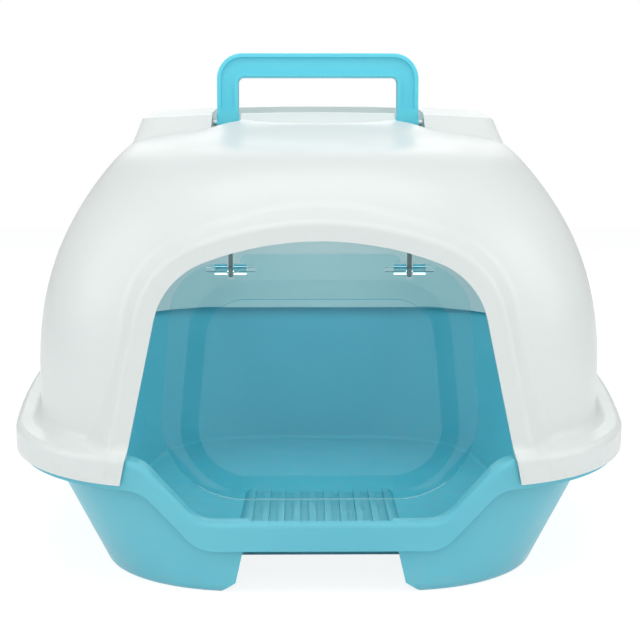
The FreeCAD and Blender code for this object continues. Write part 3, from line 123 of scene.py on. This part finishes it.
deselect_all()
bpy.ops.mesh.primitive_plane_add(size=8, location=(0, 0, 0))
floor = bpy.context.object
floor.name = "studio_floor"
bpy.ops.object.mode_set(mode="EDIT")
bpy.ops.mesh.subdivide(number_cuts=8)
bpy.ops.object.mode_set(mode="OBJECT")

material, tree, out = new_material("studio_sheet")
paper = tree.nodes.new("ShaderNodeBsdfDiffuse")
paper.inputs["Color"].default_value = (0.9, 0.9, 0.9, 1)
glow = tree.nodes.new("ShaderNodeEmission")
glow.inputs["Color"].default_value = (1, 1, 1, 1)
glow.inputs["Strength"].default_value = GLOW_STRENGTH
path = tree.nodes.new("ShaderNodeLightPath")
seen = math_node(tree, "MAXIMUM", path.outputs["Is Camera Ray"], path.outputs["Is Glossy Ray"])
seen = math_node(tree, "MAXIMUM", seen, path.outputs["Is Transmission Ray"])
share = math_node(tree, "MULTIPLY", seen, GLOW_SHARE)
tree.links.new(mix_shaders(tree, share, paper, glow), out.inputs["Surface"])
floor.data.materials.append(material)
print("floor:", len(floor.data.polygons), "faces")

# %% [markdown]
# The light is soft and comes mostly from above: a large lamp overhead, a broad one behind the camera
# for the doorway, and others at the sides and the rear. The world fills in the rest, and for the lens
# it is plain white. The thin walls of the real box let light through, so a small lamp under the roof
# lights the room inside.

# %% World and lamps
world = bpy.data.worlds.new("studio_world")
scene.world = world
world.use_nodes = True
tree = world.node_tree
tree.nodes.clear()
out = tree.nodes.new("ShaderNodeOutputWorld")
soft = tree.nodes.new("ShaderNodeBackground")
soft.inputs["Color"].default_value = (0.96, 0.98, 1, 1)
soft.inputs["Strength"].default_value = 0.42
white = tree.nodes.new("ShaderNodeBackground")
white.inputs["Color"].default_value = (1, 1, 1, 1)
white.inputs["Strength"].default_value = 1
path = tree.nodes.new("ShaderNodeLightPath")
seen = math_node(tree, "MAXIMUM", path.outputs["Is Camera Ray"], path.outputs["Is Transmission Ray"])
tree.links.new(mix_shaders(tree, seen, soft, white), out.inputs["Surface"])


def lamp(name, place, target, width, height, power):
    data = bpy.data.lights.new(name, "AREA")
    data.shape = "RECTANGLE"
    data.size = width
    data.size_y = height
    data.energy = power
    light = bpy.data.objects.new(name, data)
    scene.collection.objects.link(light)
    light.location = place
    away = [t - p for t, p in zip(target, place)]
    flat = math.hypot(away[0], away[1])
    light.rotation_euler = (math.atan2(flat, -away[2]), 0, math.atan2(-away[0], away[1]))
    return light


BOX_MIDDLE = (0, 0, 0.16)
lamp("lamp_over", (0, -0.75, 1.9), BOX_MIDDLE, 1.8, 1.6, 15)
lamp("lamp_front", (0, -2.2, 1.0), BOX_MIDDLE, 2.2, 1.2, 9)
lamp("lamp_left", (-2.0, -0.5, 1.0), BOX_MIDDLE, 1.2, 1.4, 9)
lamp("lamp_right", (2.0, -0.5, 1.0), BOX_MIDDLE, 1.2, 1.4, 9)
lamp("lamp_rear", (0, 2.2, 1.3), BOX_MIDDLE, 2.0, 1.2, 10)
inside = lamp("lamp_inside", (0, 0.02, 0.262), (0, 0.02, 0), 0.2, 0.26, 0.38)
inside.visible_camera = False
inside.visible_glossy = False

# %% [markdown]
# Most of the box is injection-moulded plastic. Its colour drifts a little where the melt cooled at
# different speeds, its gloss varies in soft patches, and a fine grain from the mould breaks the
# reflections. One helper builds that from noise in the object's own coordinates, and each finish
# only says its colours, its gloss and how far dirt and scuffs reach up from the floor.

# %% Moulded plastic helper
PLASTIC_IOR = 1.49
GRAIN_HEIGHT = 0.0004


def noise(tree, coords, scale, detail, name):
    node = tree.nodes.new("ShaderNodeTexNoise")
    node.name = name
    node.inputs["Scale"].default_value = scale
    node.inputs["Detail"].default_value = detail
    tree.links.new(coords.outputs["Object"], node.inputs["Vector"])
    return node


def remap(tree, source, low, high, to_low, to_high):
    node = tree.nodes.new("ShaderNodeMapRange")
    node.inputs["From Min"].default_value = low
    node.inputs["From Max"].default_value = high
    node.inputs["To Min"].default_value = to_low
    node.inputs["To Max"].default_value = to_high
    tree.links.new(source, node.inputs["Value"])
    return node.outputs["Result"]


def blend_colours(tree, factor, first, second):
    node = tree.nodes.new("ShaderNodeMix")
    node.data_type = "RGBA"
    tree.links.new(factor, node.inputs["Factor"])
    for socket, colour in (("A_Color", first), ("B_Color", second)):
        target = next(s for s in node.inputs if s.identifier == socket)
        if isinstance(colour, tuple):
            target.default_value = colour + (1,)
        else:
            tree.links.new(colour, target)
    return next(s for s in node.outputs if s.identifier == "Result_Color")


def moulded(name, colour, drift, scuff, scuff_top, gloss, grain):
    material, tree, out = new_material(name)
    coords = tree.nodes.new("ShaderNodeTexCoord")
    body = tree.nodes.new("ShaderNodeBsdfPrincipled")
    melt = noise(tree, coords, 7, 3, "melt")
    tint = blend_colours(tree, remap(tree, melt.outputs["Fac"], 0.35, 0.65, 0, 1), colour, drift)
    place = tree.nodes.new("ShaderNodeSeparateXYZ")
    tree.links.new(coords.outputs["Object"], place.inputs[0])
    marks = noise(tree, coords, 90, 6, "marks")
    low = remap(tree, place.outputs["Z"], 0, scuff_top, 1, 0)
    worn = math_node(tree, "MULTIPLY", low, remap(tree, marks.outputs["Fac"], 0.5, 0.72, 0, 0.6))
    tree.links.new(blend_colours(tree, worn, tint, scuff), body.inputs["Base Color"])
    patches = noise(tree, coords, 26, 4, "patches")
    tree.links.new(
        remap(tree, patches.outputs["Fac"], 0.3, 0.7, gloss - 0.05, gloss + 0.07),
        body.inputs["Roughness"],
    )
    fine = noise(tree, coords, 1600, 2, "grain")
    add_bump(tree, fine.outputs["Fac"], grain, GRAIN_HEIGHT, body)
    body.inputs["IOR"].default_value = PLASTIC_IOR
    tree.links.new(body.outputs[0], out.inputs["Surface"])
    return material


print("moulded plastic helper ready")

# %% [markdown]
# Four plastics: the hood is an off-white with a faint green cast, the tray a sky blue, the handle and
# catches a clearer, glossier blue, and the two small hangers inside the doorway a dark grey that is
# painted shade, standing for the shadow they hang in behind the door.

# %% Hood, tray, handle and hanger finishes
hood_white = moulded(
    "hood_white", (0.80, 0.835, 0.81), (0.775, 0.82, 0.80), (0.62, 0.63, 0.6), 0.12, 0.34, 0.05,
)
tray_blue = moulded(
    "tray_blue", (0.15, 0.585, 0.7), (0.13, 0.555, 0.675), (0.25, 0.52, 0.6), 0.03, 0.33, 0.06,
)
handle_blue = moulded(
    "handle_blue", (0.14, 0.74, 0.89), (0.125, 0.71, 0.865), (0.2, 0.55, 0.7), 0.02, 0.24, 0.03,
)
# painted shade: this dark grey stands for the shadow the hangers hang in behind the door sheet
hanger_painted_shade_grey = moulded(
    "hanger_painted_shade_grey", (0.2, 0.26, 0.26), (0.17, 0.225, 0.23), (0.3, 0.32, 0.32), 0.02, 0.42, 0.06,
)
print("plastics:", hood_white.name, tray_blue.name, handle_blue.name, hanger_painted_shade_grey.name)

# %% [markdown]
# The door is a pressed sheet of clear plastic with a cool tint. The shader's transmission lets the view
# into the box through both faces of the sheet, and its gloss picks out the pressed panel's border.
# Faint flow lines from the press and a fine haze of scratches keep it from looking like window glass.

# %% Clear door finish
clear_door, tree, out = new_material("clear_door")
coords = tree.nodes.new("ShaderNodeTexCoord")
sheet_body = tree.nodes.new("ShaderNodeBsdfPrincipled")
sheet_body.inputs["IOR"].default_value = 1.32
sheet_body.inputs["Transmission Weight"].default_value = 1
haze = noise(tree, coords, 12, 4, "haze")
tree.links.new(
    blend_colours(tree, haze.outputs["Fac"], (0.68, 0.88, 0.91), (0.74, 0.91, 0.935)),
    sheet_body.inputs["Base Color"],
)
scratch = noise(tree, coords, 240, 5, "scratch")
tree.links.new(remap(tree, scratch.outputs["Fac"], 0.4, 0.7, 0.01, 0.07), sheet_body.inputs["Roughness"])
flow = noise(tree, coords, 18, 1, "flow")
add_bump(tree, flow.outputs["Fac"], 0.04, 0.002, sheet_body)
tree.links.new(sheet_body.outputs[0], out.inputs["Surface"])
print("clear door ready")

# %% [markdown]
# The handle's and catches' pins and the screws are plain steel wire. Drawn wire shows fine lines along
# its length and small changes of gloss, which stretched noise gives.

# %% Steel finish
steel_wire, tree, out = new_material("steel_wire")
coords = tree.nodes.new("ShaderNodeTexCoord")
stretch = tree.nodes.new("ShaderNodeMapping")
stretch.inputs["Scale"].default_value = (60, 900, 900)
tree.links.new(coords.outputs["Object"], stretch.inputs["Vector"])
lines = tree.nodes.new("ShaderNodeTexNoise")
lines.inputs["Scale"].default_value = 1
lines.inputs["Detail"].default_value = 4
tree.links.new(stretch.outputs[0], lines.inputs["Vector"])
wire_body = tree.nodes.new("ShaderNodeBsdfPrincipled")
wire_body.inputs["Metallic"].default_value = 1
tree.links.new(
    blend_colours(tree, lines.outputs["Fac"], (0.52, 0.53, 0.55), (0.66, 0.67, 0.68)),
    wire_body.inputs["Base Color"],
)
tree.links.new(remap(tree, lines.outputs["Fac"], 0.3, 0.7, 0.24, 0.42), wire_body.inputs["Roughness"])
tree.links.new(wire_body.outputs[0], out.inputs["Surface"])
print("steel ready")

# %% Give every solid piece its finish
FINISHES = {
    hood_white: ("hood", "filter_cover"),
    hanger_painted_shade_grey: ("flap_hanger_left", "flap_hanger_right"),
    tray_blue: ("tray",),
    handle_blue: ("carry_handle", "latch_left", "latch_right"),
    clear_door: ("door_flap", "flap_pin_left", "flap_pin_right"),
    steel_wire: (
        "hanger_screws", "handle_pin_left", "handle_pin_right", "latch_pin_left", "latch_pin_right",
    ),
}
for finish, names in FINISHES.items():
    for name in names:
        nodes[name].data.materials.clear()
        nodes[name].data.materials.append(finish)
    print(finish.name, "on", len(names), "pieces")

# %% [markdown]
# Under the cover in the roof lies a pad of charcoal felt. The solid stands for it in the simulation, and
# here it is modelled as a pad: a block at the size of its well, rounded along its edges, cut finely,
# pressed in along a middle seam and roughened by a soft displacement, so that it looks like loose fibre.

# %% Filter pad
RIM_SLOPE = math.radians(5.2)
RIM_HEIGHT = 0.111
PAD_HALF_WIDTH = 0.0488
PAD_FRONT, PAD_BACK = -0.0128, 0.0173
PAD_BOTTOM, PAD_THICK = 0.1746, 0.0064
PAD_ROUND = 0.0016
SEAM_WIDTH, SEAM_DEPTH = 0.004, 0.35
FIBRE_SIZE, FIBRE_HEIGHT = 0.002, 0.0005
deselect_all()
bpy.ops.mesh.primitive_cube_add(size=1, location=(0, 0, 0))
pad = bpy.context.object
pad.name = "charcoal_felt_pad"
pad.dimensions = (2 * PAD_HALF_WIDTH, PAD_BACK - PAD_FRONT, PAD_THICK)
bpy.ops.object.transform_apply(location=False, rotation=False, scale=True)
bpy.ops.object.mode_set(mode="EDIT")
bpy.ops.mesh.select_all(action="SELECT")
bpy.ops.mesh.bevel(offset=PAD_ROUND, segments=3, affect="EDGES")
bpy.ops.mesh.select_all(action="SELECT")
bpy.ops.mesh.subdivide(number_cuts=14)
bpy.ops.object.mode_set(mode="OBJECT")
for vertex in pad.data.vertices:
    seam = math.exp(-((vertex.co.x / SEAM_WIDTH) ** 2))
    vertex.co.z *= 1 - SEAM_DEPTH * seam
fibres = bpy.data.textures.new("felt_fibres", "CLOUDS")
fibres.noise_scale = FIBRE_SIZE
fibres.noise_depth = 3
lumps = pad.modifiers.new("lumps", "DISPLACE")
lumps.texture = fibres
lumps.strength = FIBRE_HEIGHT
lumps.mid_level = 0.75
bpy.ops.object.modifier_apply(modifier="lumps")
pad.rotation_euler = (RIM_SLOPE, 0, 0)
along = (PAD_FRONT + PAD_BACK) / 2
lift = PAD_BOTTOM + PAD_THICK / 2
pad.location = (
    0, along * math.cos(RIM_SLOPE) - lift * math.sin(RIM_SLOPE),
    RIM_HEIGHT + along * math.sin(RIM_SLOPE) + lift * math.cos(RIM_SLOPE),
)
bpy.ops.object.transform_apply(location=True, rotation=True, scale=True)
bpy.ops.object.shade_smooth()
print("pad:", len(pad.data.polygons), "faces")

# %% Felt finish
felt, tree, out = new_material("charcoal_felt")
coords = tree.nodes.new("ShaderNodeTexCoord")
felt_body = tree.nodes.new("ShaderNodeBsdfPrincipled")
felt_body.inputs["Roughness"].default_value = 0.95
felt_body.inputs["Sheen Weight"].default_value = 0.3
strands = noise(tree, coords, 700, 8, "strands")
tree.links.new(
    blend_colours(tree, strands.outputs["Fac"], (0.016, 0.016, 0.018), (0.075, 0.075, 0.08)),
    felt_body.inputs["Base Color"],
)
add_bump(tree, strands.outputs["Fac"], 0.6, 0.0006, felt_body)
tree.links.new(felt_body.outputs[0], out.inputs["Surface"])
pad.data.materials.append(felt)
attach(pad, "hood")
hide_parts("charcoal_filter")
print("pad rides on the hood")
